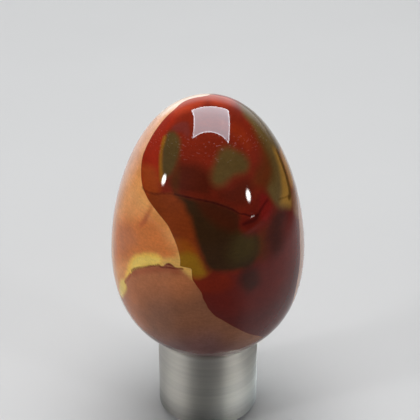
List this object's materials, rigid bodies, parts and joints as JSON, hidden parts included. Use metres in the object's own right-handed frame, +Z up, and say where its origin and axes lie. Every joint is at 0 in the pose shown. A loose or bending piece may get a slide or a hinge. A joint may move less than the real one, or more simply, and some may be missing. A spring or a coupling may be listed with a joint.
{
  "type": "decorative egg on stand",
  "caption": "Polished stone egg standing on its blunt end in the ground seat of a short metal tube, from which it lifts off freely; a display ornament.",
  "frame": {"origin": "centre of the tube's foot, on the surface that the object stands on", "axes": "+Z up the shared axis of the tube and the egg; the picture looks along +Y"},
  "size_m": [0.034, 0.034, 0.0619],
  "materials": {
    "polished_stone": "polished, with veins and patches of red, peach, brown, olive and yellow",
    "turned_metal": "satin, fine turning marks round it"
  },
  "bodies": {
    "stand": {"stand": "turned_metal"},
    "egg": {"egg": "polished_stone"}
  },
  "joints": [
    {"name": "egg_lift", "type": "slide", "parent": "stand", "child": "egg", "axis": [0, 0, 1], "range_m": [0, 0.025]}
  ]
}
